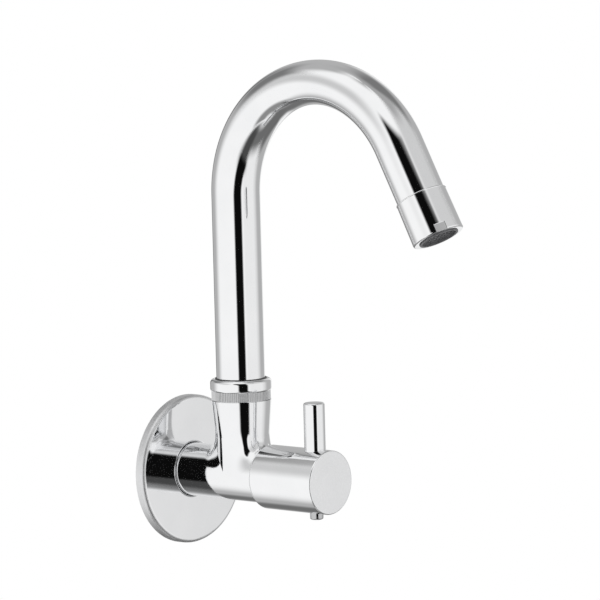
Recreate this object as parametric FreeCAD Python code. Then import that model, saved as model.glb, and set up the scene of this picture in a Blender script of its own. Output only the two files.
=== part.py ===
import FreeCAD, Part
import math
import os

# Wall-mounted sink tap with a quarter-turn ceramic valve and a swivelling swan-neck spout.
# The origin lies on the inlet axis in the plane of the wall. +Z is up, the tap stands out along -Y.
# Lengths are millimetres and angles degrees. "Reach" is a distance out from the wall, along -Y.

# Cutting tools
overrun = 2.0                   # how far a cutting tool runs past the face it opens

# Fits that pieces share
thread_clearance = 0.08         # between the crest cylinders of a screwed pair, radially
joint_clearance = 0.04          # brazed, pressed and slip-on pairs, radially
running_clearance = 0.06        # turning pairs, radially
swivel_play = 0.05              # turning pairs, along their axis
point_tolerance = 0.0001        # two points of an outline closer than this are one
seal_clearance = 0.03           # between a ring seal and the walls of its groove

# Inlet
inlet_thread_diameter = 20.955  # G 1/2 parallel pipe thread, over its crests
inlet_thread_length = 14.0      # behind the plane of the wall
inlet_thread_chamfer = 1.2
inlet_bore_diameter = 14.0

# Body
barrel_diameter = 26.6
upright_reach = 38.2            # wall to the axis of the upright
upright_height = 37.2           # inlet axis to the shoulder under the collar
upright_top_diameter = 29.6
upright_foot_diameter = 23.6    # where the cone of the upright would meet the inlet axis
upright_blend = 5.5             # radius of the blend between upright and barrel
barrel_end_chamfer = 0.4
neck_length = 5.3               # threaded neck above the shoulder
neck_chamfer = 0.5
outlet_port_diameter = 12.0     # passage from the valve chamber up into the spout socket
spout_socket_diameter = 20.0
spout_socket_depth = 22.3       # below the top of the neck

# Wall flange
flange_diameter = 74.2
flange_height = 5.2             # wall to the front face
flange_sheet = 1.4
flange_edge_radius = 2.0
flange_hub_wall = 3.4           # from the barrel bore to the outside of the hub behind the face
flange_hub_length = 3.4         # behind the sheet
flange_bore_clearance = 0.15
flange_bore_round = 1.2         # rounding of the front edge of the bore
grip_ring_thickness = 2.0
grip_groove_width = 2.2

# Valve headwork
seat_setback = 13.5             # seat to the axis of the upright
seat_seal_thickness = 2.5
seat_seal_wall = 2.2
fixed_disc_thickness = 3.5
disc_film = 0.02                # water film between the two lapped discs
moving_disc_thickness = 3.2
disc_diameter = 15.4
disc_port_inner_radius = 1.6
disc_port_outer_radius = 6.0
disc_port_angle = 82.0
disc_key_angle = 24.0
shell_wall = 1.2                # cage of the headwork around the discs
shell_clearance = 0.1           # between a disc and the cage, radially
shell_end_gap = 0.6             # cage end to the seat, taken up by the seat seal
window_length = 6.8
window_angle = 96.0
valve_space = 8.0               # moving disc to the driving flange of the spindle
chamber_clearance = 0.9         # water space around the cage, radially
headwork_thread_diameter = 20.8
headwork_thread_length = 9.0
headwork_depth = 12.2           # inner shoulder of the headwork to the end of the barrel
headwork_rim_diameter = 23.6
headwork_rim_thickness = 2.4
headwork_hex_flats = 19.0
headwork_hex_length = 6.0
headwork_nose_diameter = 12.4
headwork_nose_length = 1.6
headwork_ring_thickness = 1.5
headwork_groove_width = 1.7

# Spindle
spindle_diameter = 9.8
spindle_flange_thickness = 2.5
driver_inner_radius = 4.6
driver_angle = 32.0
driver_grip = 1.4               # how far the driving legs reach into the moving disc
driver_clearance_angle = 2.0
stop_lug_angle = 60.0
stop_lug_height = 1.8
stop_spare_angle = 1.0          # left at each end of the quarter turn
handle_turn_angle = 90.0
spindle_ring_thickness = 1.3
spindle_groove_width = 1.5
spindle_ring_first = 2.6        # inner shoulder to the first ring seal
spindle_ring_pitch = 3.4
spindle_ring_count = 2
spindle_washer_thickness = 0.8
clip_thickness = 1.0
clip_groove_depth = 0.9
clip_opening_angle = 70.0
spline_count = 20
spline_diameter = 8.0
spline_depth = 0.45
spline_start_gap = 0.4          # clip to the start of the splines
lock_groove_depth = 1.0
lock_groove_spare = 0.3         # on each side of the lever stud
spindle_tip_length = 1.5        # past the lock groove

# Handle
handle_diameter = 31.6
handle_length = 40.4
handle_overlap = 1.4            # how far the handle skirt covers the end of the barrel
handle_skirt_clearance = 0.45   # between the skirt and the barrel, radially
handle_front_depth = 20.0       # solid front part behind the end face
handle_front_round = 0.7
handle_rear_round = 1.6
handle_hub_diameter = 16.0
handle_hub_length = 5.5
handle_bore_spare = 0.7         # past the tip of the spindle

# Lever pin and lock screw
lever_diameter = 10.5
lever_setback = 9.7             # end face of the handle to the axis of the lever
lever_height = 38.8             # inlet axis to the top of the lever
lever_sink = 1.75               # how deep the lever is let into the handle
lever_top_round = 1.0
lever_stud_diameter = 6.0
lock_screw_head_diameter = 6.6
lock_screw_projection = 3.0
lock_screw_sink = 1.0
lock_screw_round = 0.9
lock_screw_diameter = 4.0
lock_screw_key_flats = 2.5
lock_screw_key_depth = 1.8
stud_tip_gap = 0.1              # stud and screw tips to the floor of the lock groove

# Spout
spout_diameter = 24.0
spout_wall = 1.2
spout_rise = 94.2               # straight run from the ferrule to the bend
bend_radius = 56.6              # of the centre line
bend_sweep = 151.5
bend_flattening_share = 0.10    # the tube narrows by this share at the middle of the bend
bend_widening_share = 0.03      # and widens by this share across the bend
bend_steps = 18
outlet_run = 26.6               # straight run from the bend to the end of the tube

# Spout ferrule and swivel
ferrule_shoulder_thickness = 1.6
ferrule_spigot_length = 8.0
ferrule_end_gap = 1.2           # end of the ferrule to the floor of its socket
ferrule_bore_diameter = 13.0
ferrule_chamfer = 0.6
spout_ring_thickness = 2.4
spout_groove_width = 2.8
spout_ring_first = 6.0          # ferrule shoulder to the middle of the first ring seal
spout_ring_pitch = 7.5
spout_ring_count = 2
slip_washer_thickness = 0.8
slip_ring_thickness = 0.9
slip_ring_wall = 0.65           # sleeve between the tube and the lip of the collar
slip_ring_hold = 0.6            # width that the lip of the collar holds down
slip_ring_rise = 0.35           # above the top of the collar
shoulder_inset = 0.1            # edge of the ferrule shoulder inside the edge of the slip ring
tube_play = 0.1                 # between the tube and the slip ring, radially

# Collar
collar_wall = 1.7
collar_lip = 1.9
collar_foot_gap = 0.2           # shoulder of the upright to the foot of the collar
collar_band_height = 4.5
collar_band_depth = 0.5         # the fluted band lies this far inside the bead
collar_bead_round = 1.9         # upper edge of the bead
collar_bead_foot_round = 1.5
collar_flute_count = 96
collar_flute_radius = 0.5
collar_flute_depth = 0.25
collar_lip_chamfer = 0.4

# Outlet bush and aerator
bush_spigot_length = 8.0
bush_thread_diameter = 22.0
bush_thread_length = 8.0
bush_bore_diameter = 17.0
aerator_seal_thickness = 2.0
aerator_rim_thickness = 1.5
aerator_rim_width = 1.1         # shoulder in the housing that carries the insert
aerator_housing_length = 22.0
aerator_housing_top_diameter = 25.2
aerator_housing_end_diameter = 25.8
aerator_housing_seam = 0.15     # visible seam between tube and housing
aerator_housing_round = 0.8
aerator_insert_projection = 0.5
aerator_insert_wall = 1.2
aerator_insert_clearance = 0.12
spanner_notch_width = 5.6
spanner_notch_height = 4.0
spanner_notch_depth = 0.7
spanner_notch_angle = 128.0     # seen along the flow, from +X toward the front
spanner_notch_count = 2
grid_thickness = 1.6
grid_recess = 1.2               # end of the insert to the grid
grid_hole_diameter = 2.1
grid_hole_pitch = 2.6
screen_thickness = 0.4
screen_hole_diameter = 1.1
screen_hole_pitch = 1.7
screen_gap = 1.6
screen_count = 2

# Places worked out from the sizes above
barrel_radius = barrel_diameter / 2
tube_radius = spout_diameter / 2
tube_bore_radius = tube_radius - spout_wall
handle_radius = handle_diameter / 2
disc_radius = disc_diameter / 2
shell_bore_radius = disc_radius + shell_clearance
shell_radius = shell_bore_radius + shell_wall
chamber_radius = shell_radius + chamber_clearance
headwork_thread_radius = headwork_thread_diameter / 2
spindle_radius = spindle_diameter / 2
stem_bore_radius = spindle_radius + running_clearance
spline_radius = spline_diameter / 2

seat_reach = upright_reach - seat_setback
fixed_disc_reach = seat_reach + seat_seal_thickness
moving_disc_reach = fixed_disc_reach + fixed_disc_thickness + disc_film
driver_reach = moving_disc_reach + moving_disc_thickness
spindle_flange_reach = driver_reach + valve_space
stem_reach = spindle_flange_reach + spindle_flange_thickness
shoulder_reach = stem_reach + swivel_play
barrel_end = shoulder_reach + headwork_depth
hex_reach = barrel_end + headwork_rim_thickness
nose_reach = hex_reach + headwork_hex_length
nose_end = nose_reach + headwork_nose_length
washer_reach = nose_end + swivel_play
clip_reach = washer_reach + spindle_washer_thickness
clip_end = clip_reach + clip_thickness
handle_rear = barrel_end - handle_overlap
handle_end = handle_rear + handle_length
handle_floor = handle_end - handle_front_depth
lever_reach = handle_end - lever_setback
lock_groove_half = lever_stud_diameter / 2 + lock_groove_spare
spindle_tip = lever_reach + lock_groove_half + spindle_tip_length
lock_groove_radius = spline_radius - lock_groove_depth

sleeve_radius = tube_radius + tube_play + slip_ring_wall
lip_radius = sleeve_radius + joint_clearance
slip_ring_radius = lip_radius + slip_ring_hold
ferrule_shoulder_radius = slip_ring_radius - shoulder_inset
neck_radius = slip_ring_radius
collar_bore_radius = neck_radius + thread_clearance
collar_radius = collar_bore_radius + collar_wall
socket_radius = spout_socket_diameter / 2
ferrule_radius = socket_radius - running_clearance

neck_top = upright_height + neck_length
socket_floor = neck_top - spout_socket_depth
shoulder_bottom = neck_top + slip_washer_thickness + swivel_play
tube_bottom = shoulder_bottom + ferrule_shoulder_thickness
slip_ring_bottom = tube_bottom + swivel_play
lip_bottom = slip_ring_bottom + slip_ring_thickness
collar_top = lip_bottom + collar_lip
collar_foot = upright_height + collar_foot_gap
bend_height = tube_bottom + spout_rise


# Construction helpers
def point(x, y, z):
    return FreeCAD.Vector(x, y, z)


def corner_steps(before, corner, after, radius):
    """Start, middle and end of the arc of this radius that rounds a corner of an outline."""
    back = (before - corner).normalize()
    ahead = (after - corner).normalize()
    half = back.getAngle(ahead) / 2
    run = radius / math.tan(half)
    inward = (back + ahead).normalize()
    middle = corner + inward * (radius / math.sin(half) - radius)
    return corner + back * run, middle, corner + ahead * run


def outline_face(corners):
    """Flat face in the XZ plane from (radius, height) corners. A third value rounds that corner."""
    spots = [point(radius, 0, height) for radius, height, *_ in corners]
    roundings = [rounding for _, _, *rounding in corners]
    edges = []
    last = None
    first = None
    for i, rounding in enumerate(roundings):
        start = middle = end = spots[i]
        if rounding:
            ahead = spots[(i + 1) % len(spots)]
            start, middle, end = corner_steps(spots[i - 1], spots[i], ahead, *rounding)
        if last is None:
            first = start
        elif not last.isEqual(start, point_tolerance):
            edges.append(Part.makeLine(last, start))
        if rounding:
            edges.append(Part.Arc(start, middle, end).toShape())
        last = end
    edges.append(Part.makeLine(last, first))
    return Part.Face(Part.Wire(edges))


def turned(corners):
    """Solid turned about Z from the (radius, height) corners of its section."""
    return outline_face(corners).revolve(point(0, 0, 0), point(0, 0, 1), 360)


def tube(inner, outer, low, high):
    """Ring or sleeve about Z."""
    return turned([(inner, low), (outer, low), (outer, high), (inner, high)])


def rod(radius, low, high):
    """Round bar about Z."""
    return Part.makeCylinder(radius, high - low, point(0, 0, low))


def prism(corners, low, high):
    """Straight bar along Z over (x, y) corners."""
    ring = [point(x, y, low) for x, y in corners]
    return Part.Face(Part.makePolygon(ring + ring[:1])).extrude(point(0, 0, high - low))


def polar(radius, angle):
    return radius * math.cos(math.radians(angle)), radius * math.sin(math.radians(angle))


def sector(inner, outer, middle_angle, width_angle, low, high):
    """Piece of a ring about Z, centred on an angle from +X."""
    face = outline_face([(inner, low), (outer, low), (outer, high), (inner, high)])
    face.rotate(point(0, 0, 0), point(0, 0, 1), middle_angle - width_angle / 2)
    return face.revolve(point(0, 0, 0), point(0, 0, 1), width_angle)


def hexagon(flats, low, high):
    corner = flats / 2 / math.cos(math.radians(30))
    return prism([polar(corner, 60 * i) for i in range(6)], low, high)


def ring_seal(inner, thickness, height):
    """Round ring seal about Z, lying on a groove floor of the given radius."""
    cord = thickness / 2 - seal_clearance
    return Part.makeTorus(inner + thickness / 2, cord, point(0, 0, height))


def splined_bar(clearance, low, high):
    """Serrated bar about Z. The clearance makes the matching hole from the same teeth."""
    tips = [polar(spline_radius + clearance, 360 * i / spline_count) for i in range(spline_count)]
    floor = spline_radius - spline_depth + clearance
    roots = [polar(floor, 360 * (i + 0.5) / spline_count) for i in range(spline_count)]
    return prism([corner for pair in zip(tips, roots) for corner in pair], low, high)


def perforated(radius, low, high, hole_diameter, pitch):
    """Round plate with holes on a triangular pattern, as many as leave a whole rim."""
    rows = math.ceil(radius / pitch)
    holes = []
    for row in range(-rows, rows + 1):
        for column in range(-2 * rows, 2 * rows + 1):
            x = (column + row / 2) * pitch
            y = row * pitch * math.sin(math.radians(60))
            if math.hypot(x, y) + pitch / 2 < radius:
                hole = rod(hole_diameter / 2, low - overrun, high + overrun)
                holes.append(hole.translate(point(x, y, 0)))
    return rod(radius, low, high).cut(Part.makeCompound(holes))


def along_tap(shape):
    """Turn a piece built about +Z so that its heights become reaches out from the wall."""
    shape.rotate(point(0, 0, 0), point(1, 0, 0), 90)
    return shape


def on_upright(shape):
    """Move a piece built about +Z to the axis of the upright."""
    shape.translate(point(0, -upright_reach, 0))
    return shape


def bend_centre(angle):
    y, z = polar(bend_radius, angle)
    return point(0, y - bend_radius - upright_reach, z + bend_height)


def at_outlet(shape):
    """Move a piece built about +Z, with its zero at the end of the tube, to the end of the spout."""
    shape.rotate(point(0, 0, 0), point(1, 0, 0), bend_sweep)
    shape.translate(bend_centre(bend_sweep) + flow_direction() * outlet_run)
    return shape


def flow_direction():
    y, z = polar(1, bend_sweep + 90)
    return point(0, y, z)


# Fixed pieces
def tap_body():
    barrel = along_tap(turned(barrel_section()))
    upright = Part.makeCone(upright_foot_diameter / 2, upright_top_diameter / 2, upright_height)
    forging = barrel.fuse(on_upright(upright)).removeSplitter()
    meeting = [edge for edge in forging.Edges if edge.Curve.TypeId == "Part::GeomBSplineCurve"]
    forging = forging.makeFillet(upright_blend, meeting)
    neck = turned([
        (0, 0), (neck_radius, 0), (neck_radius, neck_top - neck_chamfer),
        (neck_radius - neck_chamfer, neck_top), (0, neck_top)])
    forging = forging.fuse(on_upright(neck)).removeSplitter()
    return forging.cut(along_tap(valve_hollow())).cut(on_upright(spout_hollow()))


def barrel_section():
    thread_radius = inlet_thread_diameter / 2
    return [
        (0, -inlet_thread_length),
        (thread_radius - inlet_thread_chamfer, -inlet_thread_length),
        (thread_radius, inlet_thread_chamfer - inlet_thread_length),
        (thread_radius, 0),
        (barrel_radius, 0),
        (barrel_radius, barrel_end - barrel_end_chamfer),
        (barrel_radius - barrel_end_chamfer, barrel_end),
        (0, barrel_end)]


def valve_hollow():
    """Inlet bore, seat, valve chamber and the thread that takes the headwork."""
    bore = inlet_bore_diameter / 2
    thread_radius = headwork_thread_radius + thread_clearance
    thread_start = barrel_end - headwork_thread_length
    return turned([
        (0, -inlet_thread_length - overrun), (bore, -inlet_thread_length - overrun),
        (bore, seat_reach), (chamber_radius, seat_reach), (chamber_radius, thread_start),
        (thread_radius, thread_start), (thread_radius, barrel_end + overrun),
        (0, barrel_end + overrun)])


def spout_hollow():
    port = outlet_port_diameter / 2
    return turned([
        (0, 0), (port, 0), (port, socket_floor), (socket_radius, socket_floor),
        (socket_radius, neck_top + overrun), (0, neck_top + overrun)])


def wall_flange():
    outer = flange_diameter / 2
    bore = barrel_radius + flange_bore_clearance
    hub = bore + flange_hub_wall
    back = flange_height - flange_sheet
    hub_end = back - flange_hub_length
    groove = bore + grip_ring_thickness - flange_bore_clearance
    groove_low = back - flange_hub_length / 2 - grip_groove_width / 2
    groove_high = groove_low + grip_groove_width
    inner_round = flange_edge_radius - flange_sheet
    section = [
        (outer, 0), (outer, flange_height, flange_edge_radius),
        (bore, flange_height, flange_bore_round),
        (bore, groove_high), (groove, groove_high), (groove, groove_low), (bore, groove_low),
        (bore, hub_end), (hub, hub_end), (hub, back),
        (outer - flange_sheet, back, inner_round), (outer - flange_sheet, 0)]
    return along_tap(turned(section))


def flange_grip_ring():
    middle = flange_height - flange_sheet - flange_hub_length / 2
    return along_tap(ring_seal(barrel_radius, grip_ring_thickness, middle))


def seat_seal():
    outer = disc_radius
    return along_tap(tube(outer - seat_seal_wall, outer, seat_reach, fixed_disc_reach))


def disc_ports(first_angle, low, high):
    ports = []
    for half_turn in range(2):
        angle = first_angle + 180 * half_turn
        ports.append(sector(disc_port_inner_radius, disc_port_outer_radius, angle, disc_port_angle,
                            low - overrun, high + overrun))
    return Part.makeCompound(ports)


def disc_keys(width_angle, inner, outer, low, high):
    keys = [sector(inner, outer, 180 * i, width_angle, low, high) for i in range(2)]
    return keys[0].fuse(keys[1])


def fixed_disc():
    low = fixed_disc_reach
    high = low + fixed_disc_thickness
    plate = rod(disc_radius, low, high)
    keys = disc_keys(disc_key_angle, disc_radius / 2, shell_radius - shell_wall / 2, low, high)
    return along_tap(plate.fuse(keys).removeSplitter().cut(disc_ports(90, low, high)))


def headwork_body():
    shell_end = seat_reach + shell_end_gap
    thread_start = barrel_end - headwork_thread_length + swivel_play
    rim = headwork_rim_diameter / 2
    nose = headwork_nose_diameter / 2
    groove = headwork_thread_radius - headwork_ring_thickness
    shell = turned([
        (shell_bore_radius, shell_end), (shell_radius, shell_end), (shell_radius, thread_start),
        (headwork_thread_radius, thread_start),
        (headwork_thread_radius, barrel_end - headwork_groove_width),
        (groove, barrel_end - headwork_groove_width), (groove, barrel_end), (rim, barrel_end),
        (rim, hex_reach), (nose, hex_reach), (nose, nose_end), (stem_bore_radius, nose_end),
        (stem_bore_radius, shoulder_reach), (shell_bore_radius, shoulder_reach)])
    head = hexagon(headwork_hex_flats, hex_reach, nose_reach)
    head = head.cut(rod(stem_bore_radius, hex_reach - overrun, nose_reach + overrun))
    shell = shell.fuse(head).removeSplitter()
    return along_tap(shell.cut(headwork_windows()).cut(headwork_stop_pocket()))


def headwork_windows():
    """Outlet windows of the cage and the slots that keep the fixed disc from turning."""
    low = driver_reach + (valve_space - window_length) / 2
    inner = shell_bore_radius - shell_wall
    outer = shell_radius + overrun
    cuts = []
    for half_turn in range(2):
        angle = 90 + 180 * half_turn
        cuts.append(sector(inner, outer, angle, window_angle, low, low + window_length))
        slot_angle = disc_key_angle + 2 * driver_clearance_angle
        cuts.append(sector(inner, outer, angle - 90, slot_angle, seat_reach,
                           fixed_disc_reach + fixed_disc_thickness))
    return Part.makeCompound(cuts)


def headwork_stop_pocket():
    """Hollow that lets the stop lug of the spindle travel a quarter turn and no further."""
    travel = stop_lug_angle + handle_turn_angle + 2 * stop_spare_angle
    return sector(0, stop_lug_outer() + running_clearance, 90 + handle_turn_angle / 2, travel,
                  shoulder_reach - overrun, shoulder_reach + stop_lug_height + swivel_play)


def stop_lug_outer():
    return shell_bore_radius - shell_clearance


def headwork_ring():
    floor = headwork_thread_radius - headwork_ring_thickness
    middle = barrel_end - headwork_groove_width / 2
    return along_tap(ring_seal(floor, headwork_ring_thickness, middle))


def collar():
    band = collar_radius - collar_band_depth
    band_top = collar_foot + collar_band_height
    ring = turned([
        (collar_bore_radius, collar_foot), (band, collar_foot), (band, band_top),
        (collar_radius, band_top + collar_band_depth, collar_bead_foot_round),
        (collar_radius, collar_top, collar_bead_round),
        (lip_radius + collar_lip_chamfer, collar_top),
        (lip_radius, collar_top - collar_lip_chamfer),
        (lip_radius, lip_bottom), (collar_bore_radius, lip_bottom)])
    return on_upright(ring.cut(collar_flutes(band, band_top)))


def collar_flutes(band, band_top):
    flutes = []
    for i in range(collar_flute_count):
        x, y = polar(band + collar_flute_radius - collar_flute_depth, 360 * i / collar_flute_count)
        flute = rod(collar_flute_radius, collar_foot - overrun, band_top)
        flutes.append(flute.translate(point(x, y, 0)))
    return Part.makeCompound(flutes)


def slip_ring():
    """Black ring of the swivel. Its sleeve shows between the tube and the collar."""
    bore = tube_radius + tube_play
    return on_upright(turned([
        (bore, slip_ring_bottom), (slip_ring_radius, slip_ring_bottom),
        (slip_ring_radius, lip_bottom), (sleeve_radius, lip_bottom),
        (sleeve_radius, collar_top + slip_ring_rise), (bore, collar_top + slip_ring_rise)]))


def slip_washer():
    return on_upright(tube(socket_radius, neck_radius - neck_chamfer, neck_top,
                           neck_top + slip_washer_thickness))


# Pieces that turn with the handle
def moving_disc():
    high = driver_reach
    plate = rod(disc_radius, moving_disc_reach, high)
    slots = []
    for half_turn in range(2):
        slots.append(sector(driver_inner_radius - shell_clearance, disc_radius + overrun,
                            90 + 180 * half_turn, driver_angle + 2 * driver_clearance_angle,
                            high - driver_grip - disc_film, high + overrun))
    plate = plate.cut(Part.makeCompound(slots))
    return along_tap(plate.cut(disc_ports(0, moving_disc_reach, high)))


def spindle():
    bar = turned(spindle_section())
    for half_turn in range(2):
        leg = sector(driver_inner_radius, disc_radius - shell_clearance, 90 + 180 * half_turn,
                     driver_angle, driver_reach - driver_grip, stem_reach)
        bar = bar.fuse(leg)
    lug = sector(spindle_radius / 2, stop_lug_outer(), 90, stop_lug_angle,
                 spindle_flange_reach, stem_reach + stop_lug_height)
    bar = bar.fuse(lug)
    teeth = splined_bar(0, clip_end, spindle_tip)
    lock_groove = tube(lock_groove_radius, spline_radius + overrun,
                       lever_reach - lock_groove_half, lever_reach + lock_groove_half)
    return along_tap(bar.fuse(teeth.cut(lock_groove)).removeSplitter())


def spindle_section():
    """Half section of flange and stem with their grooves, from the flange outward."""
    floor = spindle_radius - spindle_ring_thickness
    corners = [(0, spindle_flange_reach), (disc_radius - shell_clearance, spindle_flange_reach),
               (disc_radius - shell_clearance, stem_reach), (spindle_radius, stem_reach)]
    for height in spindle_ring_heights():
        low = height - spindle_groove_width / 2
        high = height + spindle_groove_width / 2
        corners += [(spindle_radius, low), (floor, low), (floor, high), (spindle_radius, high)]
    clip_floor = spindle_radius - clip_groove_depth
    corners += [(spindle_radius, clip_reach), (clip_floor, clip_reach), (clip_floor, clip_end),
                (spindle_radius, clip_end), (spindle_radius, clip_end + spline_start_gap),
                (0, clip_end + spline_start_gap)]
    return corners


def spindle_ring_heights():
    first = shoulder_reach + stop_lug_height + spindle_ring_first
    return [first + spindle_ring_pitch * i for i in range(spindle_ring_count)]


def spindle_rings():
    floor = spindle_radius - spindle_ring_thickness
    rings = [ring_seal(floor, spindle_ring_thickness, h) for h in spindle_ring_heights()]
    return along_tap(Part.makeCompound(rings))


def spindle_washer():
    outer = headwork_nose_diameter / 2
    return along_tap(tube(spindle_radius + joint_clearance, outer, washer_reach, clip_reach))


def spindle_clip():
    inner = spindle_radius - clip_groove_depth + joint_clearance
    outer = headwork_nose_diameter / 2
    low = clip_reach
    high = clip_end - swivel_play
    ring = tube(inner, outer, low, high)
    opening = sector(0, outer + overrun, 270, clip_opening_angle, low - overrun, high + overrun)
    return along_tap(ring.cut(opening))


def handle():
    skirt = barrel_radius + handle_skirt_clearance
    hub = handle_hub_diameter / 2
    hub_start = handle_floor - handle_hub_length
    knob = turned([
        (0, hub_start), (hub, hub_start), (hub, handle_floor), (skirt, handle_floor),
        (skirt, handle_rear), (handle_radius, handle_rear, handle_rear_round),
        (handle_radius, handle_end, handle_front_round), (0, handle_end)])
    bore = splined_bar(running_clearance, hub_start - overrun, spindle_tip + handle_bore_spare)
    knob = along_tap(knob.cut(bore))
    return knob.cut(lever_hollow()).cut(lock_screw_hollow())


def at_lever(shape):
    shape.translate(point(0, -lever_reach, 0))
    return shape


def lever_seat():
    return handle_radius - lever_sink


def lever_hollow():
    stud = lever_stud_diameter / 2 + joint_clearance
    pocket = lever_diameter / 2 + joint_clearance
    return at_lever(turned([
        (0, 0), (stud, 0), (stud, lever_seat()), (pocket, lever_seat()),
        (pocket, handle_radius + overrun), (0, handle_radius + overrun)]))


def lever_pin():
    stud = lever_stud_diameter / 2
    tip = lock_groove_radius + stud_tip_gap
    radius = lever_diameter / 2
    return at_lever(turned([
        (0, tip), (stud, tip), (stud, lever_seat()), (radius, lever_seat()),
        (radius, lever_height, lever_top_round), (0, lever_height)]))


def lock_screw_seat():
    return handle_radius - lock_screw_sink


def downward(shape):
    """Turn a piece built about +Z at the lever so that it points down instead of up."""
    shape.rotate(point(0, 0, 0), point(0, 1, 0), 180)
    return at_lever(shape)


def lock_screw_hollow():
    shank = lock_screw_diameter / 2 + joint_clearance
    head = lock_screw_head_diameter / 2 + joint_clearance
    return downward(turned([
        (0, 0), (shank, 0), (shank, lock_screw_seat()), (head, lock_screw_seat()),
        (head, handle_radius + overrun), (0, handle_radius + overrun)]))


def lock_screw():
    shank = lock_screw_diameter / 2
    head = lock_screw_head_diameter / 2
    tip = lock_groove_radius + stud_tip_gap
    end = handle_radius + lock_screw_projection
    screw = turned([
        (0, tip), (shank, tip), (shank, lock_screw_seat()), (head, lock_screw_seat()),
        (head, end, lock_screw_round), (0, end)])
    key = hexagon(lock_screw_key_flats, end - lock_screw_key_depth, end + overrun)
    return downward(screw.cut(key))


# Pieces that turn with the spout
def bend_section(step, radius):
    """Outline of the tube at one step of the bend, flattened toward the middle of the bend."""
    share = step / bend_steps
    angle = bend_sweep * share
    squeeze = math.sin(math.pi * share) ** 2
    centre = bend_centre(angle)
    across = point(radius + tube_radius * bend_widening_share * squeeze, 0, 0)
    y, z = polar(radius - tube_radius * bend_flattening_share * squeeze, angle)
    deep = point(0, y, z)
    if step in (0, bend_steps):
        outline = Part.Circle(centre + across, centre + deep, centre - across)
    else:
        outline = Part.Ellipse(centre + across, centre + deep, centre)
    return Part.Wire(outline.toShape())


def bent_bar(radius, spare):
    """Solid bar along the path of the spout, lengthened by the spare at both ends."""
    riser = on_upright(rod(radius, tube_bottom - spare, bend_height))
    bend = Part.makeLoft([bend_section(i, radius) for i in range(bend_steps + 1)], True)
    run = Part.makeCylinder(radius, outlet_run + spare, bend_centre(bend_sweep), flow_direction())
    return riser.fuse([bend, run])


def spout_tube():
    return bent_bar(tube_radius, 0).cut(bent_bar(tube_bore_radius, overrun))


def spout_ring_heights():
    first = shoulder_bottom - spout_ring_first
    return [first - spout_ring_pitch * i for i in range(spout_ring_count)]


def spout_ferrule():
    bore = ferrule_bore_diameter / 2
    spigot = tube_bore_radius - joint_clearance
    spigot_top = tube_bottom + ferrule_spigot_length
    end = socket_floor + ferrule_end_gap
    floor = ferrule_radius - spout_ring_thickness
    corners = [(bore, spigot_top), (spigot - ferrule_chamfer, spigot_top),
               (spigot, spigot_top - ferrule_chamfer), (spigot, tube_bottom),
               (ferrule_shoulder_radius, tube_bottom), (ferrule_shoulder_radius, shoulder_bottom),
               (ferrule_radius, shoulder_bottom)]
    for height in spout_ring_heights():
        high = height + spout_groove_width / 2
        low = height - spout_groove_width / 2
        corners += [(ferrule_radius, high), (floor, high), (floor, low), (ferrule_radius, low)]
    corners += [(ferrule_radius, end + ferrule_chamfer), (ferrule_radius - ferrule_chamfer, end),
                (bore, end)]
    return on_upright(turned(corners))


def spout_rings():
    floor = ferrule_radius - spout_ring_thickness
    rings = [ring_seal(floor, spout_ring_thickness, h) for h in spout_ring_heights()]
    return on_upright(Part.makeCompound(rings))


def outlet_bush():
    bore = bush_bore_diameter / 2
    thread = bush_thread_diameter / 2
    spigot = tube_bore_radius - joint_clearance
    return at_outlet(turned([
        (bore, -bush_spigot_length), (spigot, -bush_spigot_length), (spigot, 0), (thread, 0),
        (thread, bush_thread_length), (bore, bush_thread_length)]))


def insert_rim_start():
    return bush_thread_length + aerator_seal_thickness


def insert_rim_radius():
    return bush_thread_diameter / 2 + thread_clearance - aerator_insert_clearance


def insert_radius():
    return insert_rim_radius() - aerator_rim_width


def aerator_seal():
    return at_outlet(tube(bush_bore_diameter / 2, insert_rim_radius(), bush_thread_length,
                          insert_rim_start()))


def aerator_housing():
    thread = bush_thread_diameter / 2 + thread_clearance
    ledge = insert_rim_start() + aerator_rim_thickness
    bore = insert_radius() + aerator_insert_clearance
    top = aerator_housing_top_diameter / 2
    end = aerator_housing_end_diameter / 2
    shell = turned([
        (thread, aerator_housing_seam), (top, aerator_housing_seam),
        (end, aerator_housing_length, aerator_housing_round), (bore, aerator_housing_length),
        (bore, ledge), (thread, ledge)])
    return at_outlet(shell.cut(spanner_notches(end)))


def spanner_notches(end):
    notches = []
    half = spanner_notch_width / 2
    flat = end - spanner_notch_depth
    corners = [(flat, -half), (end + overrun, -half), (end + overrun, half), (flat, half)]
    for i in range(spanner_notch_count):
        notch = prism(corners, aerator_housing_length - spanner_notch_height,
                      aerator_housing_length + overrun)
        notch.rotate(point(0, 0, 0), point(0, 0, 1),
                     spanner_notch_angle + 360 * i / spanner_notch_count)
        notches.append(notch)
    return Part.makeCompound(notches)


def aerator_insert():
    """Plastic cup with an open grid, carried by its rim in the housing."""
    outer = insert_radius()
    inner = outer - aerator_insert_wall
    rim = insert_rim_radius()
    start = insert_rim_start()
    end = aerator_housing_length + aerator_insert_projection
    cup = turned([
        (inner, start), (rim, start), (rim, start + aerator_rim_thickness),
        (outer, start + aerator_rim_thickness), (outer, end), (inner, end)])
    high = end - grid_recess
    grid = perforated(inner, high - grid_thickness, high, grid_hole_diameter, grid_hole_pitch)
    return at_outlet(cup.fuse(grid).removeSplitter())


def aerator_screens():
    """Fine metal screens that rest on the grid of the insert, one above the other."""
    radius = insert_radius() - aerator_insert_wall - aerator_insert_clearance
    high = aerator_housing_length + aerator_insert_projection - grid_recess - grid_thickness
    screens = []
    for i in range(screen_count):
        top = high - (screen_thickness + screen_gap) * i
        screens.append(perforated(radius, top - screen_thickness, top, screen_hole_diameter,
                                  screen_hole_pitch))
    return at_outlet(Part.makeCompound(screens))


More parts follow.
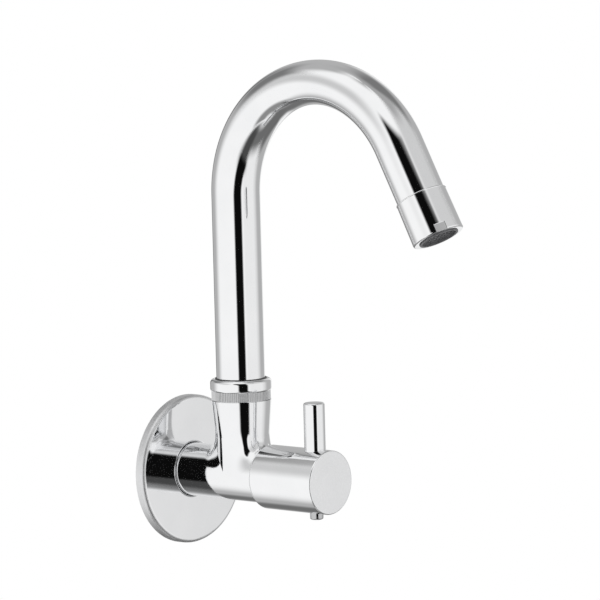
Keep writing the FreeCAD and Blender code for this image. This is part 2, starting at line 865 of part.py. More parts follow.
pieces = {
    "tap_body": tap_body,
    "wall_flange": wall_flange,
    "flange_grip_ring": flange_grip_ring,
    "headwork_body": headwork_body,
    "headwork_ring": headwork_ring,
    "seat_seal": seat_seal,
    "fixed_disc": fixed_disc,
    "collar": collar,
    "slip_ring": slip_ring,
    "slip_washer": slip_washer,
    "spindle": spindle,
    "moving_disc": moving_disc,
    "spindle_rings": spindle_rings,
    "spindle_washer": spindle_washer,
    "spindle_clip": spindle_clip,
    "handle": handle,
    "lever_pin": lever_pin,
    "lock_screw": lock_screw,
    "spout_tube": spout_tube,
    "spout_ferrule": spout_ferrule,
    "spout_rings": spout_rings,
    "outlet_bush": outlet_bush,
    "aerator_seal": aerator_seal,
    "aerator_housing": aerator_housing,
    "aerator_insert": aerator_insert,
    "aerator_screens": aerator_screens,
}

os.makedirs("parts", exist_ok=True)
for name, build in pieces.items():
    build().exportStep("parts/" + name + ".step")
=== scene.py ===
import bmesh
import bpy
import math
from mathutils import Matrix, Vector


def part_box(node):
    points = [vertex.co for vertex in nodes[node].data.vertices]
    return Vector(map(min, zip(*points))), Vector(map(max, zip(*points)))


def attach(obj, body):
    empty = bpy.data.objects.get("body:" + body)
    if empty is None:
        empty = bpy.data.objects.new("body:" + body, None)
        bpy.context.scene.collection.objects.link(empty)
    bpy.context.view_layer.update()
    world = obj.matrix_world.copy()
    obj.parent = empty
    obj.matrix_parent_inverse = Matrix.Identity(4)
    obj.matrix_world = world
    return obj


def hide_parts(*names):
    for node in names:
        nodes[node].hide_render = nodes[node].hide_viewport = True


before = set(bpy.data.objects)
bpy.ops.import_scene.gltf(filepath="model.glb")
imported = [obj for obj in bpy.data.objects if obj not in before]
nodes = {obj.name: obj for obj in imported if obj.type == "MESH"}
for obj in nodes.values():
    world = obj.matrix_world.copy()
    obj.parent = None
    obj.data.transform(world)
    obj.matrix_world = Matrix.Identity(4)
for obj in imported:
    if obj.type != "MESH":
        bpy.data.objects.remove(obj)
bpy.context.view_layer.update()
collar_low, collar_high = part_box("collar")

# Lengths are in metres, in the frame of the solids, apart from the lens and the sensor, in millimetres
# Camera
CAMERA_AZIMUTH = math.radians(48.51)
CAMERA_ELEVATION = math.radians(6.35)
CAMERA_ROLL = math.radians(-1.47)
CAMERA_DISTANCE = 2.5
CAMERA_LENS = 307.47
CAMERA_SENSOR = 36.0
CAMERA_AHEAD = 0.0418
CAMERA_HEIGHT = 0.090
CAMERA_NUDGE = (-0.00101, -0.00113)

# Spout tube and aerator housing
TUBE_RADIUS = 0.012
TUBE_WALL = 0.0012
TUBE_FOOT = 0.04495
BEND_HEIGHT = 0.13915
BEND_RADIUS = 0.0566
BEND_SWEEP = math.radians(151.5)
BEND_FLATTENING_SHARE = 0.10
BEND_WIDENING_SHARE = 0.03
OUTLET_RUN = 0.0266
HOUSING_EDGE_RADIUS = 0.01245
HOUSING_EDGE_CORD = 0.00035
HOUSING_SEAM = 0.00015

# Upright and the hollow at its foot
UPRIGHT_REACH = -(collar_low[1] + collar_high[1]) / 2
UPRIGHT_FOOT = 0.0118
UPRIGHT_SLOPE = 0.0806
UPRIGHT_TOP = 0.03719
BARREL_RADIUS = 0.0133
BLEND_RADIUS = 0.0058
BLEND_FULL = math.radians(40)
BLEND_SPAN = math.radians(72)
BLEND_RISE = 0.011
BLEND_FALL = 0.0045
NEAR_PULL_SHARE = 0.35
FAR_PULL_SHARE = 0.7
MEETING_ROUNDS = 40
TURN_STEP = 0.001
SKIN_LIFT = 0.00002
SKIN_EDGE = 0.0004
SKIN_DEPTH = 0.0016

# Inlet thread
THREAD_RADIUS = 0.0104775
THREAD_RISE = 0.0004
THREAD_ROOT = 0.0003
THREAD_PITCH = 0.001814
THREAD_START = 0.0012
THREAD_END = 0.0126
THREAD_FOOT_SHARE = 0.4
THREAD_CREST_SHARE = 0.12

# Finishes, with shade painted into the colour of the collar band and the flange rim
CHROME_LOW_TINT = (-0.025, -0.02, -0.012)
CHROME_HIGH_TINT = (0.01, 0.013, 0.02)
PEEL_DEPTH = 0.000002
GRAIN_DEPTH = 0.00001
TURNING_SCALE = 9000.0
COLLAR_BAND = 0.0046
BAND_FADE = 0.0001
# Share of brightness left where shade is painted into the collar band
BAND_PAINTED_SHADE_SHARE = 0.68
FACE_DEPTH = 0.0001
FACE_FADE = 0.0002
FACE_SATIN = (0.20, 0.32)
FLANGE_RIM = 0.0012
RIM_FADE = 0.0006
# Share of brightness left where shade is painted into the flange rim
RIM_PAINTED_SHADE_SHARE = 0.88
RIM_SATIN = (0.32, 0.44)
SHARP_ANGLE = math.radians(40)

# Studio
CAMERA_TARGET = Vector((0.0, -UPRIGHT_REACH - CAMERA_AHEAD, CAMERA_HEIGHT))
FLOOR_HEIGHT = -1.3
FLOOR_HALF = 6.0
FLOOR_GREY = 0.85
WORLD_STRENGTH = 0.85
CARD_DISTANCE = 1.25
CARD_STEP = 0.01


def unit(azimuth, elevation):
    """Unit direction for radians turned to the left of the front, and radians above the horizon."""
    level = math.cos(elevation)
    return Vector((-math.sin(azimuth) * level, -math.cos(azimuth) * level, math.sin(elevation)))


def direction(azimuth, elevation):
    """Unit direction for degrees turned to the right of the camera, and degrees above the horizon."""
    return unit(CAMERA_AZIMUTH - math.radians(azimuth), math.radians(elevation))


# Node helpers
def new_material(name):
    material = bpy.data.materials.new(name)
    material.use_nodes = True
    tree = material.node_tree
    tree.nodes.clear()
    return material, tree


def add(tree, kind, **settings):
    node = tree.nodes.new(kind)
    for key, value in settings.items():
        if key in node.inputs:
            node.inputs[key].default_value = value
        else:
            setattr(node, key, value)
    return node


def noise(tree, place, scale, detail=3.0, rough=0.55):
    node = add(tree, "ShaderNodeTexNoise", Scale=scale, Detail=detail, Roughness=rough)
    tree.links.new(place, node.inputs["Vector"])
    return node.outputs["Fac"]


def spread(tree, value, low, high, start=0.3, end=0.7):
    """Maps a value from one range onto another."""
    node = tree.nodes.new("ShaderNodeMapRange")
    node.inputs["From Min"].default_value = start
    node.inputs["From Max"].default_value = end
    node.inputs["To Min"].default_value = low
    node.inputs["To Max"].default_value = high
    tree.links.new(value, node.inputs["Value"])
    return node.outputs["Result"]


def grey(value):
    return (value, value, value, 1.0)


def blend_colours(tree, factor, first, second):
    node = add(tree, "ShaderNodeMix", data_type="RGBA")
    for socket in node.inputs:
        if socket.type == "RGBA" and socket.name == "A":
            socket.default_value = first
        if socket.type == "RGBA" and socket.name == "B":
            socket.default_value = second
    tree.links.new(factor, node.inputs[0])
    return [s for s in node.outputs if s.type == "RGBA"][0]


def relief(tree, height, depth):
    node = add(tree, "ShaderNodeBump", Strength=1.0, Distance=depth)
    tree.links.new(height, node.inputs["Height"])
    return node.outputs["Normal"]


def surface(tree, **settings):
    shader = add(tree, "ShaderNodeBsdfPrincipled")
    for key, value in settings.items():
        shader.inputs[key].default_value = value
    out = tree.nodes.new("ShaderNodeOutputMaterial")
    tree.links.new(shader.outputs["BSDF"], out.inputs["Surface"])
    return shader


def principled(tree):
    return [n for n in tree.nodes if n.type == "BSDF_PRINCIPLED"][0]


def places(tree):
    return tree.nodes.new("ShaderNodeTexCoord").outputs["Object"]


# Materials
def chrome(name, bright=0.90, low_rough=0.025, high_rough=0.07):
    material, tree = new_material(name)
    place = places(tree)
    shader = surface(tree, Metallic=1.0)
    tint = spread(tree, noise(tree, place, scale=60.0, detail=4.0), 0.0, 1.0)
    low, high = [[bright + t for t in tints] + [1.0] for tints in (CHROME_LOW_TINT, CHROME_HIGH_TINT)]
    tree.links.new(blend_colours(tree, tint, low, high), shader.inputs["Base Color"])
    haze = spread(tree, noise(tree, place, scale=140.0, detail=5.0, rough=0.65), low_rough, high_rough)
    tree.links.new(haze, shader.inputs["Roughness"])
    peel = noise(tree, place, scale=900.0, detail=2.0)
    tree.links.new(relief(tree, peel, PEEL_DEPTH), shader.inputs["Normal"])
    return material


def brass(name):
    material, tree = new_material(name)
    place = places(tree)
    shader = surface(tree, Metallic=1.0)
    tint = spread(tree, noise(tree, place, scale=220.0, detail=4.0), 0.0, 1.0)
    tree.links.new(blend_colours(tree, tint, (0.62, 0.44, 0.19, 1.0), (0.78, 0.60, 0.30, 1.0)),
                   shader.inputs["Base Color"])
    tree.links.new(spread(tree, noise(tree, place, scale=500.0), 0.2, 0.4), shader.inputs["Roughness"])
    tree.links.new(relief(tree, noise(tree, place, scale=3000.0), GRAIN_DEPTH), shader.inputs["Normal"])
    return material


def moulded(name, dark, light, low_rough, high_rough):
    material, tree = new_material(name)
    place = places(tree)
    shader = surface(tree, Metallic=0.0)
    tint = spread(tree, noise(tree, place, scale=300.0, detail=4.0), 0.0, 1.0)
    tree.links.new(blend_colours(tree, tint, (*dark, 1.0), (*light, 1.0)), shader.inputs["Base Color"])
    tree.links.new(spread(tree, noise(tree, place, scale=700.0), low_rough, high_rough),
                   shader.inputs["Roughness"])
    tree.links.new(relief(tree, noise(tree, place, scale=2500.0), GRAIN_DEPTH), shader.inputs["Normal"])
    return material


def steel(name):
    material, tree = new_material(name)
    place = places(tree)
    shader = surface(tree, Metallic=1.0)
    tint = spread(tree, noise(tree, place, scale=400.0, detail=4.0), 0.0, 1.0)
    tree.links.new(blend_colours(tree, tint, (0.48, 0.48, 0.49, 1.0), (0.62, 0.62, 0.63, 1.0)),
                   shader.inputs["Base Color"])
    tree.links.new(spread(tree, noise(tree, place, scale=900.0), 0.22, 0.4), shader.inputs["Roughness"])
    return material


def dress(material, *names):
    for name in names:
        slots = nodes[name].data.materials
        slots.clear()
        slots.append(material)


def split_places(tree):
    """The three coordinates of a place, and its distance from the axis of the barrel."""
    split = tree.nodes.new("ShaderNodeSeparateXYZ")
    tree.links.new(places(tree), split.inputs[0])
    flat = add(tree, "ShaderNodeCombineXYZ")
    tree.links.new(split.outputs["X"], flat.inputs["X"])
    tree.links.new(split.outputs["Z"], flat.inputs["Z"])
    distance = add(tree, "ShaderNodeVectorMath", operation="LENGTH")
    tree.links.new(flat.outputs[0], distance.inputs[0])
    return split.outputs, distance.outputs["Value"]


def paint_shade(tree, mask, share):
    """Paints shade into the chrome: darkens its colour to a share of its brightness where the mask is 1."""
    shader = principled(tree)
    shine = shader.inputs["Base Color"].links[0].from_socket
    shade = blend_colours(tree, mask, grey(1.0), grey(share))
    product = add(tree, "ShaderNodeMix", data_type="RGBA", blend_type="MULTIPLY")
    product.inputs[0].default_value = 1.0
    colours = [s for s in product.inputs if s.type == "RGBA"]
    tree.links.new(shine, colours[0])
    tree.links.new(shade, colours[1])
    tree.links.new([s for s in product.outputs if s.type == "RGBA"][0], shader.inputs["Base Color"])


def shaded_band_chrome(name, top):
    """Chrome whose fluted band, below the given height, has painted shade: its colour is darkened over the
    whole band, standing in for the shade between the flutes.
    """
    material = chrome(name)
    tree = material.node_tree
    axes, _ = split_places(tree)
    band = spread(tree, axes["Z"], 1.0, 0.0, top - BAND_FADE, top + BAND_FADE)
    # Painted shade: the band's colour is darkened, standing in for the shade between the flutes
    paint_shade(tree, band, BAND_PAINTED_SHADE_SHARE)
    return material


def add_satin(tree, mask, along, low, high):
    """Roughens the chrome by the fine rings of turning, spaced along a length, where the mask is 1."""
    shader = principled(tree)
    rings = add(tree, "ShaderNodeTexNoise", Scale=TURNING_SCALE, Detail=2.0, Roughness=0.6,
                noise_dimensions="1D")
    tree.links.new(along, rings.inputs["W"])
    satin = add(tree, "ShaderNodeMath", operation="MULTIPLY")
    tree.links.new(mask, satin.inputs[0])
    tree.links.new(spread(tree, rings.outputs["Fac"], low, high), satin.inputs[1])
    total = add(tree, "ShaderNodeMath", operation="ADD")
    tree.links.new(shader.inputs["Roughness"].links[0].from_socket, total.inputs[0])
    tree.links.new(satin.outputs[0], total.inputs[1])
    tree.links.new(total.outputs[0], shader.inputs["Roughness"])


def faced_chrome(name, front):
    """Chrome whose flat end, in front of the given y, keeps the fine satin rings of turning."""
    material = chrome(name)
    tree = material.node_tree
    axes, distance = split_places(tree)
    face = spread(tree, axes["Y"], 1.0, 0.0, front, front + FACE_FADE)
    add_satin(tree, face, distance, *FACE_SATIN)
    return material


def shaded_rim_chrome(name, radius):
    """Chrome whose rim, outside the given radius, has painted shade darkening its colour, and keeps the
    fine satin rings of turning in its roughness.
    """
    material = chrome(name)
    tree = material.node_tree
    axes, distance = split_places(tree)
    rim = spread(tree, distance, 0.0, 1.0, radius - RIM_FADE, radius)
    # Painted shade: the rim's colour is darkened to tone down its reflection
    paint_shade(tree, rim, RIM_PAINTED_SHADE_SHARE)
    add_satin(tree, rim, axes["Y"], *RIM_SATIN)
    return material


polished = chrome("polished_chrome")
dress(polished, "tap_body", "lever_pin", "spout_tube", "aerator_housing")
dress(faced_chrome("handle_chrome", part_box("handle")[0][1] + FACE_DEPTH), "handle")
# The flange rim gets painted shade in its colour, and satin rings of turning in its roughness
dress(shaded_rim_chrome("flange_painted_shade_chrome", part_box("wall_flange")[1][0] - FLANGE_RIM), "wall_flange")
dress(chrome("screw_chrome", bright=0.55, low_rough=0.12, high_rough=0.25), "lock_screw")
# The collar's fluted band gets painted shade in its colour
dress(shaded_band_chrome("collar_painted_shade_chrome", collar_low[2] + COLLAR_BAND), "collar")
dress(brass("machined_brass"), "headwork_body", "spindle", "spout_ferrule", "outlet_bush")
dress(moulded("black_rubber", dark=(0.012, 0.012, 0.013), light=(0.028, 0.028, 0.030),
              low_rough=0.55, high_rough=0.8),
      "flange_grip_ring", "headwork_ring", "seat_seal", "spindle_rings", "spout_rings", "aerator_seal")
dress(moulded("black_acetal", dark=(0.012, 0.012, 0.013), light=(0.03, 0.03, 0.032),
              low_rough=0.3, high_rough=0.45),
      "slip_ring", "slip_washer", "spindle_washer")
dress(moulded("aerator_plastic", dark=(0.11, 0.11, 0.115), light=(0.17, 0.17, 0.175),
              low_rough=0.35, high_rough=0.55),
      "aerator_insert")
dress(moulded("lapped_ceramic", dark=(0.78, 0.77, 0.74), light=(0.86, 0.85, 0.82),
              low_rough=0.15, high_rough=0.3),
      "fixed_disc", "moving_disc")
dress(steel("screen_steel"), "aerator_screens", "spindle_clip")


# Pieces
def add_piece(name, verts, faces, material, body):
    mesh = bpy.data.meshes.new(name)
    mesh.from_pydata(verts, [], faces)
    work = bmesh.new()
    work.from_mesh(mesh)
    bmesh.ops.recalc_face_normals(work, faces=work.faces)
    work.to_mesh(mesh)
    work.free()
    mesh.shade_smooth()
    mesh.set_sharp_from_angle(angle=SHARP_ANGLE)
    mesh.materials.append(material)
    piece = bpy.data.objects.new(name, mesh)
    bpy.context.scene.collection.objects.link(piece)
    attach(piece, body)
    return piece


def flow_at(angle):
    """Way along the spout where it has turned by an angle from straight up."""
    return Vector((0.0, -math.sin(angle), math.cos(angle)))


def deep_at(angle):
    """Way across the spout, in the plane of its bend, where it has turned by an angle."""
    return Vector((0.0, math.cos(angle), math.sin(angle)))


def spout_stations(riser_steps=24, bend_steps=144, outlet_steps=8):
    """Places along the spout, each with the angle turned so far and how much the tube is squeezed there."""
    stations = []
    for i in range(riser_steps):
        height = TUBE_FOOT + (BEND_HEIGHT - TUBE_FOOT) * i / riser_steps
        stations.append((Vector((0.0, -UPRIGHT_REACH, height)), 0.0, 0.0))
    for i in range(bend_steps + 1):
        share = i / bend_steps
        angle = BEND_SWEEP * share
        centre = Vector((0.0, BEND_RADIUS * (math.cos(angle) - 1) - UPRIGHT_REACH,
                         BEND_RADIUS * math.sin(angle) + BEND_HEIGHT))
        stations.append((centre, angle, math.sin(math.pi * share) ** 2))
    flow = flow_at(BEND_SWEEP)
    for i in range(1, outlet_steps + 1):
        stations.append((centre + flow * OUTLET_RUN * i / outlet_steps, BEND_SWEEP, 0.0))
    return stations


def spout_ring(station, radius, count):
    centre, angle, squeeze = station
    half_width = radius + TUBE_RADIUS * BEND_WIDENING_SHARE * squeeze
    half_depth = radius - TUBE_RADIUS * BEND_FLATTENING_SHARE * squeeze
    across = Vector((half_width, 0.0, 0.0))
    deep = deep_at(angle) * half_depth
    turns = [2 * math.pi * k / count for k in range(count)]
    return [centre + across * math.cos(t) + deep * math.sin(t) for t in turns]


def bridge(first, second, count):
    """Faces between two rings of points, given where each ring starts."""
    faces = []
    for k in range(count):
        after = (k + 1) % count
        faces.append((first + k, first + after, second + after, second + k))
    return faces


def bridge_round(rings, count):
    """Faces between rings of points that follow one another back to the first."""
    faces = []
    for i in range(rings):
        faces += bridge(i * count, (i + 1) % rings * count, count)
    return faces


def make_spout_tube(count=128):
    """The chromed tube of the solids, drawn with even rings so that mirrors in it run smoothly."""
    stations = spout_stations()
    outside = [spout_ring(s, TUBE_RADIUS, count) for s in stations]
    inside = [spout_ring(s, TUBE_RADIUS - TUBE_WALL, count) for s in stations]
    rings = outside + inside[::-1]
    verts = [v for ring in rings for v in ring]
    faces = bridge_round(len(rings), count)
    tube = add_piece("spout_tube_smooth", verts, faces, polished, "spout")
    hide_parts("spout_tube")


def upright_radius(height):
    return UPRIGHT_FOOT + UPRIGHT_SLOPE * height


def upright_point(turn, height):
    """Point on the cone of the upright, with the ways round, up and out of its skin."""
    radius = upright_radius(height)
    across = Vector((math.cos(turn), math.sin(turn), 0.0))
    place = across * radius + Vector((0.0, -UPRIGHT_REACH, height))
    sideways = Vector((-across.y, across.x, 0.0))
    up = (across * UPRIGHT_SLOPE + Vector((0.0, 0.0, 1.0))).normalized()
    return place, sideways, up, sideways.cross(up)


def barrel_point(arc, y):
    """Point on the barrel, with the ways round, along and out of its skin. The arc starts at the top."""
    turn = arc / BARREL_RADIUS
    outward = Vector((math.sin(turn), 0.0, math.cos(turn)))
    place = outward * BARREL_RADIUS + Vector((0.0, y, 0.0))
    return place, Vector((outward.z, 0.0, -outward.x)), Vector((0.0, 1.0, 0.0)), outward


def meeting(turn):
    """Where the skins of upright and barrel meet: height on the upright, then arc and y on the barrel."""
    height = BARREL_RADIUS / 2
    for _ in range(MEETING_ROUNDS):
        radius = upright_radius(height)
        height = math.sqrt(BARREL_RADIUS ** 2 - (radius * math.cos(turn)) ** 2)
    arc = BARREL_RADIUS * math.atan2(radius * math.cos(turn), height)
    return height, arc, radius * math.sin(turn) - UPRIGHT_REACH


def hollow_share(turn):
    """How far the hollow is widened: fully at the two sides of the upright, not at its front and back."""
    away = math.asin(abs(math.sin(turn)))
    ease = max(0.0, away - BLEND_FULL) / (BLEND_SPAN - BLEND_FULL)
    return math.cos(math.pi / 2 * min(1.0, ease)) ** 2


def curve_point(controls, s):
    """Point at a share of the way along the smooth curve that the control points pull into shape."""
    while len(controls) > 1:
        controls = [a.lerp(b, s) for a, b in zip(controls, controls[1:])]
    return controls[0]


def upright_section(turn, rows, steps):
    """Closed line down the upright and through the hollow, out on its skin and back inside it."""
    height, arc, y = meeting(turn)
    before, after = meeting(turn - TURN_STEP), meeting(turn + TURN_STEP)
    radius = upright_radius(height)
    rising = Vector((before[0] - after[0], 2 * TURN_STEP * radius)).normalized()
    falling = Vector((after[2] - before[2], before[1] - after[1])).normalized()
    _, sideways, up, _ = upright_point(turn, height)
    _, down, along, _ = barrel_point(arc, y)
    corner = (sideways * rising.x + up * rising.y).angle(down * falling.x + along * falling.y)
    half = (math.pi - corner) / 2
    share = hollow_share(turn)
    rise = BLEND_RADIUS * math.tan(half) / rising.y + BLEND_RISE * share
    fall = BLEND_RADIUS * math.tan(half) + BLEND_FALL * share
    pull = 4 * math.tan(half / 2) / math.tan(half) / 3
    top, _, up, top_out = upright_point(turn, height + rise * up.z)
    foot, down, along, foot_out = barrel_point(arc + fall * falling.x, y + fall * falling.y)
    back = up * -rise
    ahead = (down * falling.x + along * falling.y) * -fall
    arc_line = [top, top + back * pull, foot + ahead * pull, foot]
    soft_line = [top, top + back * NEAR_PULL_SHARE, top + back * FAR_PULL_SHARE,
                 foot + ahead * FAR_PULL_SHARE, foot + ahead * NEAR_PULL_SHARE, foot]
    outside, inside = [], []
    for k in range(rows):
        place, _, _, outward = upright_point(turn, UPRIGHT_TOP + (top.z - UPRIGHT_TOP) * k / rows)
        outside.append(place + outward * SKIN_LIFT)
        inside.append(place - outward * SKIN_EDGE)
    for k in range(steps + 1):
        s = k / steps
        place = curve_point(arc_line, s).lerp(curve_point(soft_line, s), share)
        outward = top_out.lerp(foot_out, s).normalized()
        outside.append(place + outward * SKIN_LIFT)
        inside.append(place - outward * (SKIN_EDGE + SKIN_DEPTH * math.sin(math.pi * s)))
    return outside + inside[::-1]


def make_upright_skin(columns=192, rows=12, steps=32):
    """Skin of the upright and its hollow foot, drawn with even lines so that mirrors in it run smoothly."""
    count = 2 * (rows + steps + 1)
    turns = [2 * math.pi * i / columns for i in range(columns)]
    verts = [point for turn in turns for point in upright_section(turn, rows, steps)]
    add_piece("upright_skin", verts, bridge_round(columns, count), polished, "body")


def make_housing_edge(around=128, cord=16):
    """Rounded upper edge of the aerator housing, which shows as a line round the spout."""
    centre, angle, _ = spout_stations()[-1]
    flow, deep = flow_at(angle), deep_at(angle)
    middle = centre + flow * (HOUSING_SEAM + HOUSING_EDGE_CORD)
    verts = []
    for i in range(around):
        turn = 2 * math.pi * i / around
        outward = Vector((math.cos(turn), 0.0, 0.0)) + deep * math.sin(turn)
        for k in range(cord):
            tilt = 2 * math.pi * k / cord
            reach = HOUSING_EDGE_RADIUS + HOUSING_EDGE_CORD * math.cos(tilt)
            verts.append(middle + outward * reach - flow * HOUSING_EDGE_CORD * math.sin(tilt))
    add_piece("housing_edge", verts, bridge_round(around, cord), polished, "spout")


def make_inlet_thread(steps=72):
    """Ridge of the pipe thread, wound round the crest cylinder of the inlet."""
    total = int((THREAD_END - THREAD_START) / THREAD_PITCH * steps)
    verts, faces = [], []
    for i in range(total + 1):
        angle = 2 * math.pi * i / steps
        rise = THREAD_RISE * min(1.0, i / steps, (total - i) / steps)
        middle = THREAD_START + THREAD_PITCH * i / steps
        profile = ((-THREAD_FOOT_SHARE, -THREAD_ROOT), (-THREAD_CREST_SHARE, rise),
                   (THREAD_CREST_SHARE, rise), (THREAD_FOOT_SHARE, -THREAD_ROOT))
        for offset_share, height in profile:
            radius = THREAD_RADIUS + height
            y = middle + offset_share * THREAD_PITCH
            verts.append((radius * math.cos(angle), y, radius * math.sin(angle)))
    corners = len(profile)
    for i in range(total):
        faces += bridge(i * corners, (i + 1) * corners, corners)
    faces += [tuple(range(corners)), tuple(range(total * corners, (total + 1) * corners))]
    add_piece("inlet_thread_ridge", verts, faces, polished, "body")


make_spout_tube()
make_upright_skin()
make_housing_edge()
make_inlet_thread()


# Studio
def white_where_seen(tree, lit, white):
    """Shader that shows plain white to the camera and in mirrors, and the lit shader elsewhere."""
    path = tree.nodes.new("ShaderNodeLightPath")
    total = add(tree, "ShaderNodeMath", operation="ADD")
    tree.links.new(path.outputs["Is Camera Ray"], total.inputs[0])
    tree.links.new(path.outputs["Is Glossy Ray"], total.inputs[1])
    seen = add(tree, "ShaderNodeMath", operation="ADD", use_clamp=True)
    tree.links.new(total.outputs[0], seen.inputs[0])
    tree.links.new(path.outputs["Is Transmission Ray"], seen.inputs[1])
    mix = tree.nodes.new("ShaderNodeMixShader")
    tree.links.new(seen.outputs[0], mix.inputs[0])
    tree.links.new(lit.outputs[0], mix.inputs[1])
    tree.links.new(white.outputs[0], mix.inputs[2])
    return mix.outputs[0]


def make_world():
    world = bpy.data.worlds.new("studio")
    bpy.context.scene.world = world
    world.use_nodes = True
    tree = world.node_tree
    tree.nodes.clear()
    light = add(tree, "ShaderNodeBackground", Color=grey(1.0), Strength=WORLD_STRENGTH)
    white = add(tree, "ShaderNodeBackground", Color=grey(1.0), Strength=1.0)
    out = tree.nodes.new("ShaderNodeOutputWorld")
    tree.links.new(white_where_seen(tree, light, white), out.inputs["Surface"])


def make_floor():
    material, tree = new_material("pale_floor")
    lit = add(tree, "ShaderNodeBsdfDiffuse", Color=grey(FLOOR_GREY))
    white = add(tree, "ShaderNodeEmission", Color=grey(1.0), Strength=1.0)
    out = tree.nodes.new("ShaderNodeOutputMaterial")
    tree.links.new(white_where_seen(tree, lit, white), out.inputs["Surface"])
    mesh = bpy.data.meshes.new("floor")
    corners = ((-1, -1), (1, -1), (1, 1), (-1, 1))
    verts = [(x * FLOOR_HALF, y * FLOOR_HALF, FLOOR_HEIGHT) for x, y in corners]
    mesh.from_pydata(verts, [], [(0, 1, 2, 3)])
    floor = bpy.data.objects.new("floor", mesh)
    mesh.materials.append(material)
    bpy.context.scene.collection.objects.link(floor)


def card_material(name, value, soft):
    """Plain card of one grey whose edges fade out, so that it has a soft outline in a mirror."""
    material, tree = new_material(name)
    glow = add(tree, "ShaderNodeEmission", Color=grey(value), Strength=1.0)
    clear = tree.nodes.new("ShaderNodeBsdfTransparent")
    across = tree.nodes.new("ShaderNodeUVMap")
    split = tree.nodes.new("ShaderNodeSeparateXYZ")
    tree.links.new(across.outputs["UV"], split.inputs[0])
    fades = []
    for axis in (0, 1):
        inner = add(tree, "ShaderNodeMath", operation="PINGPONG")
        inner.inputs[1].default_value = 0.5
        tree.links.new(split.outputs[axis], inner.inputs[0])
        ramp = tree.nodes.new("ShaderNodeMapRange")
        ramp.interpolation_type = "SMOOTHSTEP"
        ramp.inputs["From Max"].default_value = soft[axis]
        tree.links.new(inner.outputs[0], ramp.inputs["Value"])
        fades.append(ramp.outputs["Result"])
    both = add(tree, "ShaderNodeMath", operation="MULTIPLY")
    tree.links.new(fades[0], both.inputs[0])
    tree.links.new(fades[1], both.inputs[1])
    mix = tree.nodes.new("ShaderNodeMixShader")
    tree.links.new(both.outputs[0], mix.inputs[0])
    tree.links.new(clear.outputs[0], mix.inputs[1])
    tree.links.new(glow.outputs[0], mix.inputs[2])
    out = tree.nodes.new("ShaderNodeOutputMaterial")
    tree.links.new(mix.outputs[0], out.inputs["Surface"])
    return material


def make_card(name, rows, value, soft, distance, steps=24):
    """Curved card round the object. Each row gives an elevation and its two azimuth limits, in degrees."""
    mesh = bpy.data.meshes.new(name)
    verts, faces, uvs = [], [], []
    for k in range(steps + 1):
        elevation, left, right = row_at(rows, k / steps)
        for i in range(steps + 1):
            azimuth = left + (right - left) * i / steps
            verts.append(CAMERA_TARGET + direction(azimuth, elevation) * distance)
            uvs.append((i / steps, k / steps))
    row = steps + 1
    for k in range(steps):
        for i in range(steps):
            faces.append((k * row + i, k * row + i + 1, (k + 1) * row + i + 1, (k + 1) * row + i))
    mesh.from_pydata(verts, [], faces)
    layer = mesh.uv_layers.new(name="UVMap")
    for loop in mesh.loops:
        layer.data[loop.index].uv = uvs[loop.vertex_index]
    mesh.materials.append(card_material(name, value, soft))
    card = bpy.data.objects.new(name, mesh)
    bpy.context.scene.collection.objects.link(card)
    card.visible_camera = False
    card.visible_diffuse = False
    card.visible_shadow = False
    card.visible_transmission = False
    card.visible_volume_scatter = False


def row_at(rows, share):
    """Row of a card at a share of its height, between the rows given."""
    place = share * (len(rows) - 1)
    i = min(int(place), len(rows) - 2)
    t = place - i
    return [a + (b - a) * t for a, b in zip(rows[i], rows[i + 1])]


def patch(azimuths, elevations):
    """Rows of a card that keeps its azimuth limits from its lower to its upper edge."""
    return [(elevations[0], *azimuths), (elevations[1], *azimuths)]


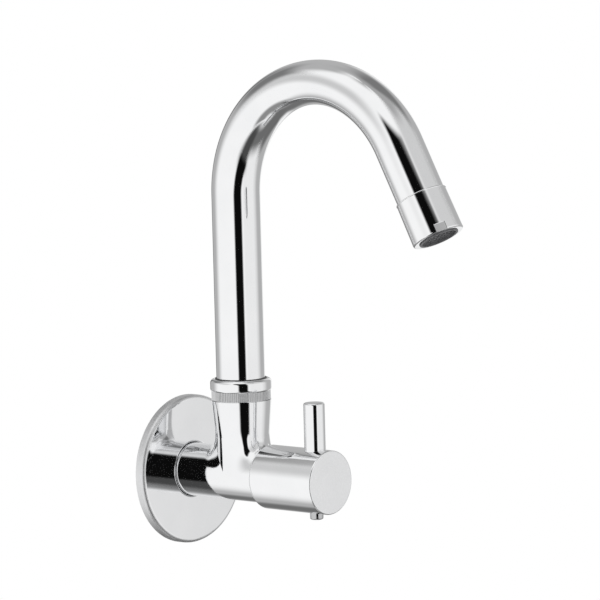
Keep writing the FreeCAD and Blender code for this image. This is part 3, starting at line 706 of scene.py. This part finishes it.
def make_camera():
    back = unit(CAMERA_AZIMUTH, CAMERA_ELEVATION)
    right = Vector((math.cos(CAMERA_AZIMUTH), -math.sin(CAMERA_AZIMUTH), 0.0))
    up = back.cross(right)
    across = right * math.cos(CAMERA_ROLL) + up * math.sin(CAMERA_ROLL)
    above = up * math.cos(CAMERA_ROLL) - right * math.sin(CAMERA_ROLL)
    target = CAMERA_TARGET + across * CAMERA_NUDGE[0] + above * CAMERA_NUDGE[1]
    place = target + back * CAMERA_DISTANCE
    data = bpy.data.cameras.new("camera")
    data.sensor_width = CAMERA_SENSOR
    data.lens = CAMERA_LENS
    camera = bpy.data.objects.new("camera", data)
    columns = (across, above, back)
    turn = Matrix([[c[i] for c in columns] for i in range(3)])
    camera.matrix_world = Matrix.Translation(place) @ turn.to_4x4()
    bpy.context.scene.collection.objects.link(camera)
    bpy.context.scene.camera = camera


# Each card has a name, its rows, a grey and the shares of its width and height over which its edges fade
CAMERA_GAP_ROWS = [
    (-40, -8, 42), (-30, -12, 42), (-20, -13, 35), (-10, -14, 30),
    (4, -18, 29), (20, -36, 27), (32, -40, 28), (47, -34, 24)]
CARDS = (
    ("right_side", patch((28, 108), (-58, 78)), 0.90, (0.15, 0.2)),
    ("right_top", patch((8, 126), (8, 84)), 0.66, (0.25, 0.35)),
    ("rear", patch((86, 268), (-85, 85)), 0.47, (0.2, 0.1)),
    ("overhead", patch((22, 212), (48, 106)), 0.41, (0.2, 0.3)),
    ("rear_right_low", patch((92, 192), (-80, -26)), 0.15, (0.3, 0.3)),
    ("rear_right_high", patch((92, 180), (30, 86)), 0.20, (0.35, 0.3)),
    ("rear_low", patch((160, 228), (-85, -20)), 0.17, (0.3, 0.3)),
    ("rear_left_high", patch((192, 272), (12, 52)), 0.20, (0.35, 0.35)),
    ("rear_strip", patch((153, 175), (-50, 40)), 0.96, (0.35, 0.3)),
    ("rear_gap", patch((193, 209), (-50, 40)), 0.12, (0.35, 0.3)),
    ("left_streak", patch((-124, -34), (0, 54)), 0.64, (0.35, 0.45)),
    ("floor_left", patch((-180, -14), (-89, -52)), 0.28, (0.1, 0.35)),
    ("floor_right", patch((-22, 196), (-89, -36)), 0.16, (0.12, 0.4)),
    ("camera_gap_foot", patch((-26, 52), (-78, -18)), 0.07, (0.35, 0.25)),
    ("camera_gap", CAMERA_GAP_ROWS, 0.004, (0.18, 0.12)),
)
make_world()
make_floor()
for order, (card_name, rows, value, soft) in enumerate(CARDS):
    make_card(card_name, rows, value, soft, CARD_DISTANCE - CARD_STEP * order)
make_camera()
bpy.context.scene.view_settings.view_transform = "Standard"
